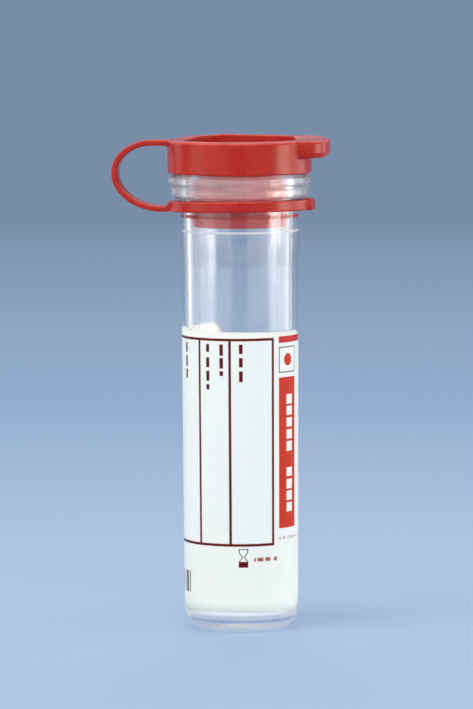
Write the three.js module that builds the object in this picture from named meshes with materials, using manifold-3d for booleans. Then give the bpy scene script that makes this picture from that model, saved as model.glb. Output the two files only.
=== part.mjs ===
// Small blood sample tube with a tethered push cap.
//
// Five named meshes: the moulded tube, the paper label wrapped round it, and the soft closure,
// which is one moulding on the real thing and is divided here where its strap bends:
// the cap, the strap and the ring round the neck.
//
// Millimetres, +Z up. The origin is the middle of the flat base, on the tube's axis.
// The strap reaches out towards -X and the cap's thumb tab towards +X.

import * as THREE from "three";
import { mergeVertices } from "three/addons/utils/BufferGeometryUtils.js";
import Module from "manifold-3d";

const wasm = await Module();
wasm.setup();

// ---- Fineness ---------------------------------------------------------------------------------

const FACETS = 72; // flats round every turned form, the same for all, so nested walls run parallel
const ARC_STEPS = 3; // half the chords in each rounded edge of a turned form
const STRAP_STEPS = 36; // lengths that the bent strap is divided into

// ---- Tube -------------------------------------------------------------------------------------

const TUBE_HEIGHT = 44.4; // base plane to mouth
const NECK_RADIUS = 5.52; // outside, between the collar and the step
const TUBE_WALL = 0.8;
const BODY_DRAFT = THREE.MathUtils.degToRad(0.26); // the body narrows towards its base
const STEP_DEPTH = 0.09; // how far the body is set in below the neck
const STEP_HEIGHT = 0.4;
const NECK_LENGTH = 5.3; // collar to step
const BASE_CORNER = 2.5; // radius of the arc between the wall and the flat base
const BASE_CORNER_HEIGHT = 2.0;
const FLOOR_THICKNESS = 1.0;
const FLOOR_CORNER = 1.6; // radius inside, between the floor and the wall

const LIP_PROUD = 0.43; // lip's outside beyond the neck
const LIP_HEIGHT = 1.8; // mouth to the collar's shoulder
const LIP_ROUND = 0.25;
const MOUTH_LEAD_IN = 0.3;
const CREST_PROUD = 1.14; // the collar's widest line beyond the neck
const CREST_HEIGHT = 1.0;
const CREST_LINE = 0.4; // height of that line above the band
const CREST_FACE = 0.25; // the crest's nearly upright face, above and below the line
const CREST_BOW = 0.04; // how far the line stands out beyond that face's edges
const SHOULDER_WIDTH = 0.355; // flat top of the collar, beyond the lip
const BAND_PROUD = 0.87; // the collar's lower band beyond the neck
const BAND_HEIGHT = 1.22;
const BAND_ROUND = 0.45;

const SEAT_MARGIN = 0.3; // the wider bore that the plug seals in goes this far past its end
const SEAT_STEP = 0.15; // height of the slope where that bore ends

// ---- Label ------------------------------------------------------------------------------------

const LABEL_BOTTOM = 2.0; // above the base plane
const LABEL_HEIGHT = 26.2;
const LABEL_THICKNESS = 0.08;
const LABEL_GAP = 0.02; // glue line
const LABEL_START = -240; // degrees from +X, where the label's left edge lies
const LABEL_FACETS = 48; // flats of the tube that it covers
const LABEL_CORNER = 1.3; // radius of its corners
const LABEL_SKEW = THREE.MathUtils.degToRad(0.65); // put on slightly askew, lower towards +X

// ---- Cap --------------------------------------------------------------------------------------

const DECK_THICKNESS = 1.27; // over the tube's lip
const SEAT_GAP = 0.1; // lip to deck, and shoulder to skirt
const SKIRT_WALL = 0.63;
const SKIRT_CLEARANCE = 0.15; // round the lip
const SKIRT_EDGE = 0.15; // rounding of the skirt's upper and lower edges
const PLUG_DEPTH = 6.7; // mouth to the plug's end
const PLUG_RELIEF = 0.13; // shank to bore
const PLUG_CLEARANCE = 0.06; // sealing bead to bore
const PLUG_BEAD_FACE = 0.25; // height of the sealing bead's upright face
const PLUG_BEAD_SLOPE = 0.19; // height of the slope from there in to the shank
const PLUG_NOSE_LENGTH = 0.9; // sealing bead to the plug's end
const PLUG_NOSE_INSET = 0.3; // how far the end is set in from the bead
const PLUG_NOSE_ROUND = 0.2;
const PLUG_WALL = 1.05; // at the sealing bead
const PLUG_FLOOR = 0.9;
const PLUG_CORNER = 0.6; // radius inside the hollow, round its floor
const DISH_DEPTH = 0.72; // dished top, below the deck
const DISH_ROUND = 0.5; // edge between the dish and the plug's hollow
const DISH_FILLET = 0.15; // slope between the dish and its wall
const DISH_WALL = 1.48; // skirt's outside to the dish's wall
const BOW_RISE = 0.2; // the soft top stands up this much along its back
const BOW_RIGHT = { start: -5, end: 30 }; // degrees from +X over which it rises
const BOW_LEFT = { start: 131, end: 162 }; // and over which it comes down again
const BOW_CREST = 0.15; // it stands up this much more at one place
const BOW_CREST_ANGLE = 110;
const BOW_CREST_WIDTH = 7; // degrees to either side, where a third of the crest is left

const TAB_REACH = 1.68; // beyond the skirt
const TAB_WIDTH = 6.66;
const TAB_THICKNESS = 1.65;
const TAB_CORNER = 2.1; // radius of its corners, seen from above
const TAB_EDGE = 0.55; // rounding of its lower edge

// ---- Ring round the neck ----------------------------------------------------------------------

const RING_HEIGHT = 1.0;
const RING_WALL = 0.88;
const RING_GAP = 0.33; // round the neck
const RING_SLACK = 0.05; // least gap under the collar
const RING_EDGE = 0.12;
const RING_TILT_FRONT = THREE.MathUtils.degToRad(1.6); // the loose ring hangs higher towards -Y
const RING_TILT_SIDE = THREE.MathUtils.degToRad(0.8); // and higher towards +X
const GRIP_REACH = 0.37; // small grip on the ring, beyond its outside
const GRIP_WIDTH = 2.5;
const GRIP_RISE = 0.2; // its top edge above the ring
const GRIP_DROP = 0.185; // its outer edge below the ring's top

// ---- Strap ------------------------------------------------------------------------------------

const STRAP_WIDTH = 1.7;
const STRAP_THICKNESS = 0.57;
const STRAP_EDGE = 0.16; // rounding along its edges
const STRAP_REACH = 5.33; // skirt to the loop's outermost face
const STRAP_STRAIGHT = 1.5; // straight stretch next to the cap
const STRAP_BELLY = 0.54; // height of the outermost point, as a share of the loop's height
const STRAP_SWEEP = 0.55; // fullness of the loop's upper bend, as a share of its reach and rise
const STRAP_TUCK = 0.45; // fullness below the outermost point, as a share of the rise
const STRAP_LANDING = { reach: 0.63, rise: 0.06 }; // where the lower bend aims at the ring
const ROOT_LENGTH = 0.7; // stub of the strap on the cap and on the ring
const ROOT_FILLET = 0.25;
const JOIN_GAP = 0.1; // between each stub and the strap

// ---- Sizes worked out from the ones above ------------------------------------------------------

const shoulderZ = TUBE_HEIGHT - LIP_HEIGHT;
const bandTopZ = shoulderZ - CREST_HEIGHT;
const collarZ = bandTopZ - BAND_HEIGHT; // collar's underside
const stepZ = collarZ - NECK_LENGTH;
const lipRadius = NECK_RADIUS + LIP_PROUD;
const boreRadius = NECK_RADIUS - TUBE_WALL;

const plugZ = TUBE_HEIGHT - PLUG_DEPTH; // plug's end
const seatZ = plugZ - SEAT_MARGIN;
const grooveZ = TUBE_HEIGHT + SEAT_GAP; // deck's underside
const deckZ = grooveZ + DECK_THICKNESS;
const skirtZ = shoulderZ + SEAT_GAP;
const skirtInside = lipRadius + SKIRT_CLEARANCE;
const skirtRadius = skirtInside + SKIRT_WALL;

const ringInside = NECK_RADIUS + RING_GAP;
const ringRadius = ringInside + RING_WALL;
const ringTilt = Math.hypot(RING_TILT_FRONT, RING_TILT_SIDE);
const ringTopZ = collarZ - RING_SLACK - ringRadius * Math.sin(ringTilt);
const ringMiddleZ = ringTopZ - RING_HEIGHT / 2;

const rootEnd = skirtRadius + ROOT_LENGTH;

/** Outside radius of the tapered body at height z, below the step. */
function bodyRadius(z) {
  return NECK_RADIUS - STEP_DEPTH - (stepZ - z) * Math.tan(BODY_DRAFT);
}

/** Outside radius of the tube at height z, from the base's corner up to the collar. */
function wallRadius(z) {
  const upStep = THREE.MathUtils.clamp((z - stepZ) / STEP_HEIGHT, 0, 1);
  const below = bodyRadius(Math.min(z, stepZ));
  return THREE.MathUtils.lerp(below, NECK_RADIUS, upStep);
}

// ---- Ways of making a form ---------------------------------------------------------------------

/** Turns an outline of (radius, height) points about the Z axis. */
function turned(outline) {
  const form = new THREE.LatheGeometry(outline.getPoints(ARC_STEPS), FACETS);
  form.rotateX(Math.PI / 2);
  return form;
}

/** Extrudes an outline of (x, z) points along Y, equally to both sides of the XZ plane. */
function slab(outline, width) {
  const form = new THREE.ExtrudeGeometry(outline, {
    depth: width,
    bevelEnabled: false,
    curveSegments: ARC_STEPS * 2,
  });
  form.translate(0, 0, -width / 2);
  form.rotateX(Math.PI / 2);
  return form;
}

/** The closed solid that a geometry encloses. */
function solid(geometry) {
  const bare = new THREE.BufferGeometry();
  bare.setAttribute("position", geometry.getAttribute("position").clone());
  if (geometry.index) bare.setIndex(geometry.index.clone());
  const merged = mergeVertices(bare, 1e-5);
  const corners = Array.from(merged.index.array);
  const kept = [];
  for (let i = 0; i < corners.length; i += 3) {
    const [a, b, c] = corners.slice(i, i + 3);
    if (a !== b && b !== c && c !== a) kept.push(a, b, c);
  }
  return new wasm.Manifold(
    new wasm.Mesh({
      numProp: 3,
      vertProperties: Float32Array.from(merged.getAttribute("position").array),
      triVerts: Uint32Array.from(kept),
    })
  );
}

/** The geometry of a solid's surface. */
function surface(body) {
  const mesh = body.getMesh();
  const geometry = new THREE.BufferGeometry();
  geometry.setAttribute("position", new THREE.BufferAttribute(mesh.vertProperties, 3));
  geometry.setIndex(new THREE.BufferAttribute(mesh.triVerts, 1));
  geometry.computeVertexNormals();
  return geometry;
}

/** A named mesh with its own finish. */
function piece(name, geometry, finish) {
  const mesh = new THREE.Mesh(geometry, new THREE.MeshStandardMaterial(finish));
  mesh.name = name;
  return mesh;
}

// ---- Finishes ----------------------------------------------------------------------------------

const CLEAR_PLASTIC = {
  color: 0xd6dee8,
  roughness: 0.25,
  metalness: 0,
  transparent: true,
  opacity: 0.45,
};
const RED_PLASTIC = { color: 0xc22a2c, roughness: 0.45, metalness: 0 };
const WHITE_PAPER = { color: 0xf2f6f6, roughness: 0.35, metalness: 0 };

// ---- Tube --------------------------------------------------------------------------------------

/**
 * The moulded tube: a flat base with an arc round it, a tapered body, a step out to the neck,
 * a two-part collar, and the lip that the cap fits over. Inside, the bore is wider where the
 * plug seals, and the floor meets the wall in a radius.
 */
function makeTube() {
  const bottomRadius = bodyRadius(BASE_CORNER_HEIGHT);
  const arcX = bottomRadius - BASE_CORNER;
  const arcEnd = Math.asin(BASE_CORNER_HEIGHT / BASE_CORNER);
  const baseRadius = arcX + BASE_CORNER * Math.cos(arcEnd);
  const bandRadius = NECK_RADIUS + BAND_PROUD;
  const crestRadius = NECK_RADIUS + CREST_PROUD;
  const crestZ = bandTopZ + CREST_LINE;
  const floorCornerZ = FLOOR_THICKNESS + FLOOR_CORNER;
  const innerBottom = bodyRadius(floorCornerZ) - TUBE_WALL;
  const seatBottomZ = seatZ - SEAT_STEP;

  const outline = new THREE.Path();
  outline.moveTo(0, 0);
  outline.lineTo(baseRadius, 0);
  outline.absarc(arcX, BASE_CORNER_HEIGHT, BASE_CORNER, -arcEnd, 0, false);
  outline.lineTo(bodyRadius(stepZ), stepZ);
  outline.lineTo(NECK_RADIUS, stepZ + STEP_HEIGHT);
  outline.lineTo(NECK_RADIUS, collarZ);
  outline.absarc(bandRadius - BAND_ROUND, collarZ + BAND_ROUND, BAND_ROUND, -Math.PI / 2, 0, false);
  outline.lineTo(bandRadius, bandTopZ);
  outline.lineTo(crestRadius - CREST_BOW, crestZ - CREST_FACE);
  outline.lineTo(crestRadius, crestZ);
  outline.lineTo(crestRadius - CREST_BOW, crestZ + CREST_FACE);
  outline.lineTo(lipRadius + SHOULDER_WIDTH, shoulderZ);
  outline.lineTo(lipRadius, shoulderZ);
  outline.absarc(lipRadius - LIP_ROUND, TUBE_HEIGHT - LIP_ROUND, LIP_ROUND, 0, Math.PI / 2, false);
  outline.lineTo(boreRadius + MOUTH_LEAD_IN, TUBE_HEIGHT);
  outline.lineTo(boreRadius, TUBE_HEIGHT - MOUTH_LEAD_IN);
  outline.lineTo(boreRadius, seatZ);
  outline.lineTo(bodyRadius(seatBottomZ) - TUBE_WALL, seatBottomZ);
  outline.lineTo(innerBottom, floorCornerZ);
  outline.absarc(innerBottom - FLOOR_CORNER, floorCornerZ, FLOOR_CORNER, 0, -Math.PI / 2, true);
  outline.lineTo(0, FLOOR_THICKNESS);
  return piece("tube", turned(outline), CLEAR_PLASTIC);
}

// ---- Label -------------------------------------------------------------------------------------

/**
 * The label: a flat blank with rounded corners, bent round the body. It has one column of
 * points on each edge between the tube's flats, so it lies parallel to them, and at both ends
 * the columns get shorter along the corner's arc.
 */
function makeLabel() {
  const blank = new THREE.BoxGeometry(1, 1, 1, LABEL_FACETS, 1, 1);
  const points = blank.getAttribute("position");
  const middleZ = LABEL_BOTTOM + LABEL_HEIGHT / 2;
  const facet = (2 * Math.PI) / FACETS;
  const turn = LABEL_FACETS * facet;
  const start = THREE.MathUtils.degToRad(LABEL_START);
  const length = turn * wallRadius(middleZ);
  for (let i = 0; i < points.count; i += 1) {
    const share = points.getX(i) + 0.5;
    const fromEnd = Math.min(share, 1 - share) * length;
    const intoCorner = Math.max(0, LABEL_CORNER - fromEnd);
    const cut = LABEL_CORNER - Math.sqrt(LABEL_CORNER ** 2 - intoCorner ** 2);
    const slope = -(share - 0.5) * length * Math.tan(LABEL_SKEW);
    const z = middleZ + slope + points.getY(i) * (LABEL_HEIGHT - 2 * cut);
    const depth = points.getZ(i) > 0 ? LABEL_THICKNESS : 0;
    const radius = wallRadius(z) + LABEL_GAP + depth;
    const angle = start + share * turn;
    points.setXYZ(i, radius * Math.cos(angle), radius * Math.sin(angle), z);
  }
  return piece("label", surface(solid(blank)), WHITE_PAPER);
}

// ---- Cap ---------------------------------------------------------------------------------------

/** The turned form of the cap: skirt, groove for the lip, hollow plug and dished top. */
function capForm() {
  const beadZ = plugZ + PLUG_NOSE_LENGTH;
  const shankRadius = boreRadius - PLUG_RELIEF;
  const beadRadius = boreRadius - PLUG_CLEARANCE;
  const noseRadius = beadRadius - PLUG_NOSE_INSET;
  const beadTopZ = beadZ + PLUG_BEAD_FACE;
  const hollowRadius = beadRadius - PLUG_WALL;
  const hollowZ = plugZ + PLUG_FLOOR;
  const dishRadius = skirtRadius - DISH_WALL;
  const dishZ = deckZ - DISH_DEPTH;
  const quarter = Math.PI / 2;

  const outline = new THREE.Path();
  outline.moveTo(0, plugZ);
  outline.lineTo(noseRadius - PLUG_NOSE_ROUND, plugZ);
  outline.absarc(noseRadius - PLUG_NOSE_ROUND, plugZ + PLUG_NOSE_ROUND, PLUG_NOSE_ROUND, -quarter, 0);
  outline.lineTo(beadRadius, beadZ);
  outline.lineTo(beadRadius, beadTopZ);
  outline.lineTo(shankRadius, beadTopZ + PLUG_BEAD_SLOPE);
  outline.lineTo(shankRadius, grooveZ);
  outline.lineTo(skirtInside, grooveZ);
  outline.lineTo(skirtInside, skirtZ);
  outline.absarc(skirtRadius - SKIRT_EDGE, skirtZ + SKIRT_EDGE, SKIRT_EDGE, -quarter, 0);
  outline.absarc(skirtRadius - SKIRT_EDGE, deckZ - SKIRT_EDGE, SKIRT_EDGE, 0, quarter);
  outline.lineTo(dishRadius, deckZ);
  outline.lineTo(dishRadius, dishZ + DISH_FILLET);
  outline.lineTo(dishRadius - DISH_FILLET, dishZ);
  outline.lineTo(hollowRadius + DISH_ROUND, dishZ);
  outline.absarc(hollowRadius + DISH_ROUND, dishZ - DISH_ROUND, DISH_ROUND, quarter, 2 * quarter);
  outline.absarc(hollowRadius - PLUG_CORNER, hollowZ + PLUG_CORNER, PLUG_CORNER, 0, -quarter, true);
  outline.lineTo(0, hollowZ);
  return solid(turned(outline));
}

/** The thumb tab: a plate with rounded corners, flush with the deck, its lower edge rounded. */
function tabForm() {
  const halfWidth = TAB_WIDTH / 2;
  const end = skirtRadius + TAB_REACH;
  const plan = new THREE.Shape();
  plan.moveTo(0, -halfWidth);
  plan.lineTo(end - TAB_CORNER, -halfWidth);
  plan.absarc(end - TAB_CORNER, -halfWidth + TAB_CORNER, TAB_CORNER, -Math.PI / 2, 0, false);
  plan.absarc(end - TAB_CORNER, halfWidth - TAB_CORNER, TAB_CORNER, 0, Math.PI / 2, false);
  plan.lineTo(0, halfWidth);
  plan.closePath();
  const plate = new THREE.ExtrudeGeometry(plan, {
    depth: TAB_THICKNESS,
    bevelThickness: TAB_EDGE,
    bevelSize: TAB_EDGE,
    bevelOffset: -TAB_EDGE,
    bevelSegments: ARC_STEPS,
    curveSegments: ARC_STEPS * 2,
  });
  plate.translate(0, 0, deckZ - TAB_THICKNESS + TAB_EDGE);
  const above = new THREE.BoxGeometry(4 * end, 2 * TAB_WIDTH, 2 * TAB_THICKNESS); // past the plate
  above.translate(0, 0, deckZ + TAB_THICKNESS);
  const inside = new THREE.CylinderGeometry(1, 1, 4 * TAB_THICKNESS, FACETS); // through the plate
  inside.scale(skirtRadius - SKIRT_WALL / 2, 1, skirtRadius - SKIRT_WALL / 2);
  inside.rotateX(Math.PI / 2);
  inside.translate(0, 0, deckZ);
  return solid(plate).subtract(solid(above)).subtract(solid(inside));
}

/**
 * A stub of the strap on a round wall of the given radius. Its upper face is at height top, and
 * the corner between the stub and the wall is filleted below it, or above it where filletAbove is
 * true.
 */
function strapRoot(radius, top, filletAbove) {
  const inside = radius - SKIRT_WALL / 2;
  const bottom = top - STRAP_THICKNESS;
  const outline = new THREE.Shape();
  if (filletAbove) {
    outline.moveTo(-inside, bottom);
    outline.lineTo(-inside, top + ROOT_FILLET);
    outline.absarc(-radius - ROOT_FILLET, top + ROOT_FILLET, ROOT_FILLET, 0, -Math.PI / 2, true);
    outline.lineTo(-rootEnd, top);
    outline.lineTo(-rootEnd, bottom);
  } else {
    outline.moveTo(-inside, top);
    outline.lineTo(-rootEnd, top);
    outline.lineTo(-rootEnd, bottom);
    outline.absarc(-radius - ROOT_FILLET, bottom - ROOT_FILLET, ROOT_FILLET, Math.PI / 2, 0, true);
    outline.lineTo(-inside, bottom - ROOT_FILLET);
  }
  outline.closePath();
  return solid(slab(outline, STRAP_WIDTH));
}

/** How far the soft top is bowed up at an angle from +X, in degrees. */
function topBow(angle) {
  const risen = THREE.MathUtils.smoothstep(angle, BOW_RIGHT.start, BOW_RIGHT.end);
  const fallen = THREE.MathUtils.smoothstep(angle, BOW_LEFT.start, BOW_LEFT.end);
  const fromCrest = (angle - BOW_CREST_ANGLE) / BOW_CREST_WIDTH;
  return BOW_RISE * risen * (1 - fallen) + BOW_CREST * Math.exp(-(fromCrest ** 2));
}

/** The whole cap, as one solid. Its top is bowed up more and more from the groove to the deck. */
function makeCap() {
  const form = capForm().add(tabForm()).add(strapRoot(skirtRadius, deckZ, false));
  const bowed = form.warp((point) => {
    const share = THREE.MathUtils.smoothstep(point[2], grooveZ, deckZ);
    const angle = THREE.MathUtils.radToDeg(Math.atan2(point[1], point[0]));
    point[2] += share * topBow(angle);
  });
  return piece("cap", surface(bowed), RED_PLASTIC);
}

// ---- Ring round the neck -----------------------------------------------------------------------

/** The ring, its small grip and its stub of the strap, about the middle of its own height. */
function makeNeckRing() {
  const top = RING_HEIGHT / 2;
  const outline = new THREE.Path();
  outline.moveTo(ringInside, -top);
  outline.lineTo(ringRadius - RING_EDGE, -top);
  outline.lineTo(ringRadius, -top + RING_EDGE);
  outline.lineTo(ringRadius, top - RING_EDGE);
  outline.lineTo(ringRadius - RING_EDGE, top);
  outline.lineTo(ringInside, top);
  outline.lineTo(ringInside, -top);

  const gripEnd = ringRadius + GRIP_REACH;
  const grip = new THREE.Shape();
  grip.moveTo(ringRadius - RING_WALL / 2, -top);
  grip.lineTo(gripEnd, -top);
  grip.lineTo(gripEnd, top - GRIP_DROP);
  grip.lineTo(ringRadius, top + GRIP_RISE);
  grip.lineTo(ringRadius - RING_WALL / 2, top);
  grip.closePath();

  const form = solid(turned(outline))
    .add(solid(slab(grip, GRIP_WIDTH)))
    .add(strapRoot(ringRadius, STRAP_THICKNESS - top, true));
  const ring = piece("neck_ring", surface(form), RED_PLASTIC);
  ring.position.z = ringMiddleZ;
  ring.rotation.set(-RING_TILT_FRONT, -RING_TILT_SIDE, 0);
  return ring;
}

// ---- Strap -------------------------------------------------------------------------------------

/** The line that the strap's middle follows, from the cap's stub round to the ring's stub. */
function strapLine() {
  const start = rootEnd + JOIN_GAP;
  const outermost = skirtRadius + STRAP_REACH - STRAP_THICKNESS / 2;
  const topZ = deckZ - STRAP_THICKNESS / 2;
  const bottomZ =
    ringMiddleZ - RING_HEIGHT / 2 + STRAP_THICKNESS / 2 - start * Math.sin(RING_TILT_SIDE);
  const bellyZ = THREE.MathUtils.lerp(bottomZ, topZ, STRAP_BELLY);
  const bendStart = skirtRadius + STRAP_STRAIGHT;
  const upperReach = outermost - bendStart;
  const lowerReach = outermost - start;
  const upperRise = topZ - bellyZ;
  const lowerRise = bellyZ - bottomZ;
  const at = (x, z) => new THREE.Vector3(-x, 0, z);

  const line = new THREE.CurvePath();
  line.add(new THREE.LineCurve3(at(start, topZ), at(bendStart, topZ)));
  line.add(
    new THREE.CubicBezierCurve3(
      at(bendStart, topZ),
      at(bendStart + upperReach * STRAP_SWEEP, topZ),
      at(outermost, bellyZ + upperRise * STRAP_SWEEP),
      at(outermost, bellyZ)
    )
  );
  line.add(
    new THREE.CubicBezierCurve3(
      at(outermost, bellyZ),
      at(outermost, bellyZ - lowerRise * STRAP_TUCK),
      at(start + lowerReach * STRAP_LANDING.reach, bottomZ + lowerRise * STRAP_LANDING.rise),
      at(start, bottomZ)
    )
  );
  return line;
}

/** The strap: a flat band with rounded edges, carried along its line. */
function makeStrap() {
  const x = STRAP_THICKNESS / 2;
  const y = STRAP_WIDTH / 2;
  const section = new THREE.Shape();
  section.moveTo(x, STRAP_EDGE - y);
  section.lineTo(x, y - STRAP_EDGE);
  section.lineTo(x - STRAP_EDGE, y);
  section.lineTo(STRAP_EDGE - x, y);
  section.lineTo(-x, y - STRAP_EDGE);
  section.lineTo(-x, STRAP_EDGE - y);
  section.lineTo(STRAP_EDGE - x, -y);
  section.lineTo(x - STRAP_EDGE, -y);
  section.closePath();
  const band = new THREE.ExtrudeGeometry(section, {
    steps: STRAP_STEPS,
    extrudePath: strapLine(),
    bevelEnabled: false,
  });
  return piece("strap", surface(solid(band)), RED_PLASTIC);
}

// ---- The whole part ----------------------------------------------------------------------------

const sampleTube = new THREE.Group();
sampleTube.add(makeTube(), makeLabel(), makeCap(), makeStrap(), makeNeckRing());

export default sampleTube;
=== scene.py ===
"""A small capped sample tube: its moulded body, label and soft closure, with a studio stage."""

import math
from functools import reduce
from types import SimpleNamespace

import bpy
import numpy as np
from bpy.props import FloatProperty, FloatVectorProperty, PointerProperty
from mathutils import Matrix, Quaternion, Vector


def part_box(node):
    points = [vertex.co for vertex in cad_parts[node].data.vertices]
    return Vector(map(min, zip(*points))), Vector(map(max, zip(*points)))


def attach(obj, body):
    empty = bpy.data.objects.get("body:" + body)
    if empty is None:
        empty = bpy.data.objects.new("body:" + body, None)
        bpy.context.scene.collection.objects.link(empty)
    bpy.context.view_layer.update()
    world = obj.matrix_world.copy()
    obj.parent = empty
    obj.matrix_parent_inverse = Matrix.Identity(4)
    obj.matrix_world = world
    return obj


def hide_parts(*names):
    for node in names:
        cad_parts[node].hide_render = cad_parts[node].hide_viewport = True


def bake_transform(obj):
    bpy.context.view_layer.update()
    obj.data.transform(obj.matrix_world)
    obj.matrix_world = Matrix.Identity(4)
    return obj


bl_info = {
    "name": "Capped sample tube",
    "version": (1, 0, 0),
    "blender": (4, 5, 0),
    "location": "3D View > Sidebar > Sample Tube",
    "description": "Builds a small capped sample tube around its packed frame",
    "category": "Add Mesh",
}

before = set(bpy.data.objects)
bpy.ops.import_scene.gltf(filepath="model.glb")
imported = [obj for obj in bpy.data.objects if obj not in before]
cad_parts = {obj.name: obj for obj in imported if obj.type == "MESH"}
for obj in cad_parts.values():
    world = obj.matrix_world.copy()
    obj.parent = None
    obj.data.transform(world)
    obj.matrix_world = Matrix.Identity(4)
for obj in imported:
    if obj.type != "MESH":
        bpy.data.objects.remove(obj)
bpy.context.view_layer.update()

MM = 0.001  # every shape is worked out in millimetres and put into the mesh in metres


def node_box(name):
    """Lowest and highest corner of a frame node, in millimetres."""
    return np.array(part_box(name)) / MM


TUBE_BOX, CAP_BOX, STRAP_BOX, RING_BOX = map(node_box, ("tube", "cap", "strap", "neck_ring"))

# ---- Properties ----


def length(name, description, millimetres):
    """A length property, whose default is given in millimetres."""
    size = float(millimetres) * MM
    return FloatProperty(
        name=name, description=description, default=size, min=0.0, precision=5, unit="LENGTH"
    )


def angle(name, description, degrees):
    """An angle property, whose default is given in degrees."""
    turn = math.radians(degrees)
    return FloatProperty(
        name=name, description=description, default=turn, subtype="ANGLE", unit="ROTATION"
    )


def colour(name, description, *display):
    """A colour property, whose default is given as red, green and blue from 0 to 255.

    Each is made linear: v / 12.92 in the darkest tones, and ((v + 0.055) / 1.055) ^ 2.4 above.
    """
    shares = [v / 255 for v in display]
    linear = [v / 12.92 if v <= 0.04045 else ((v + 0.055) / 1.055) ** 2.4 for v in shares]
    return FloatVectorProperty(
        name=name, description=description, default=linear, min=0.0, max=1.0, subtype="COLOR"
    )


class TubeSizes(bpy.types.PropertyGroup):
    """Sizes and colour of the moulded tube."""

    height: length("Height", "Base plane to mouth", TUBE_BOX[1][2])
    neck_radius: length("Neck radius", "Outside, between the collar and the step", 5.52)
    wall: length("Wall", "Thickness of the wall", 0.8)
    floor: length("Floor", "Thickness of the floor", 1.0)
    base_round: length("Base round", "Radius between the wall and the flat base", 2.3)
    crest_radius: length("Crest radius", "The collar's widest line", TUBE_BOX[1][0])
    draft: angle("Draft", "How much the body narrows towards its base", 0.26)
    tint: colour("Plastic", "Natural polypropylene", 253, 254, 255)


class LabelSizes(bpy.types.PropertyGroup):
    """Sizes and colours of the label and its print."""

    bottom: length("Bottom", "Lower edge above the base plane", 2.0)
    height: length("Height", "Lower edge to upper edge", 26.2)
    thickness: length("Thickness", "Paper and glue", 0.08)
    corner: length("Corner", "Radius of the corners", 1.3)
    turn: angle("Turn", "How far the label goes round the tube", 240.0)
    skew: angle("Skew", "How far it was put on askew", 0.65)
    paper: colour("Paper", "Coated paper", 237, 243, 238)
    line: colour("Lines", "Ink of the writing fields", 98, 2, 6)
    band: colour("Band", "Ink of the coloured band", 200, 48, 16)
    bar: colour("Bar", "Ink of the short bar", 196, 26, 28)
    black: colour("Black", "Ink of the stamped marks", 32, 32, 34)
    faint: colour("Faint", "Thinner ink beside the hourglass", 172, 96, 88)
    grey: colour("Grey", "Ink of the smallest marks", 196, 176, 172)


class ClosureSizes(bpy.types.PropertyGroup):
    """Sizes and colour of the cap, the strap and the ring."""

    skirt_radius: length("Skirt radius", "Outside of the cap", CAP_BOX[1][1])
    skirt_bottom: length("Skirt bottom", "Height of the skirt's lower edge", 42.7)
    deck: length("Deck", "Height of the cap's flat top", 45.77)
    tab_reach: length("Tab reach", "End of the thumb tab from the axis", CAP_BOX[1][0])
    tab_width: length("Tab width", "Width of the thumb tab", 6.66)
    tab_thickness: length("Tab thickness", "Height of the thumb tab", 1.65)
    ring_wall: length("Ring wall", "Thickness of the ring round the neck", 0.88)
    ring_height: length("Ring height", "Height of the ring", 1.0)
    strap_width: length("Strap width", "Width of the strap", STRAP_BOX[1][1] - STRAP_BOX[0][1])
    strap_thickness: length("Strap thickness", "Thickness of the strap", 0.57)
    strap_reach: length("Strap reach", "Outer face of the loop from the axis", -STRAP_BOX[0][0])
    red: colour("Red", "Soft red polyethylene", 177, 26, 18)


class StageSettings(bpy.types.PropertyGroup):
    """Camera, lamps and floor."""

    distance: length("Distance", "Camera to aim point", 443.8)
    aim_height: length("Aim height", "Height of the aim point", 25.62)
    aim_side: length("Aim side", "Aim point to the tube's axis, across the view", 0.373)
    turn: angle("Turn", "Camera round the tube, from the front towards +X", 8.0)
    lift: angle("Lift", "Camera above the horizon", 5.29)
    roll: angle("Roll", "Camera turned about its own line of sight", -0.29)
    lens: FloatProperty(name="Lens", description="Focal length", default=240.4, unit="CAMERA")
    floor: colour("Floor", "Pale floor and surroundings", 162, 188, 222)


GROUPS = {
    "tube_sizes": TubeSizes,
    "label_sizes": LabelSizes,
    "closure_sizes": ClosureSizes,
    "stage_settings": StageSettings,
}


def sizes(context, name):
    """The values of the property group of that name, with its lengths in millimetres."""
    group = getattr(context.scene, name)
    values = SimpleNamespace()
    for field in GROUPS[name].__annotations__:
        value, unit = getattr(group, field), group.bl_rna.properties[field].unit
        setattr(values, field, value / MM if unit == "LENGTH" else value)
    return values


# ---- Outlines and surfaces ----

ROUND_STEP = 1.5  # degrees from one column to the next round the axis
ARC_STEPS = 6  # chords in each rounded corner
# One more point beside each arc keeps the flat next to it flat. It stands off by this share of
# the corner's radius, and by this many millimetres at most.
GUARD = 0.3
GUARD_MOST = 0.04


def smooth(low, high, x):
    """Rises from 0 at low to 1 at high, as 3t^2 - 2t^3."""
    t = np.clip((np.asarray(x, float) - low) / (high - low), 0.0, 1.0)
    return t * t * (3 - 2 * t)


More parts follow.
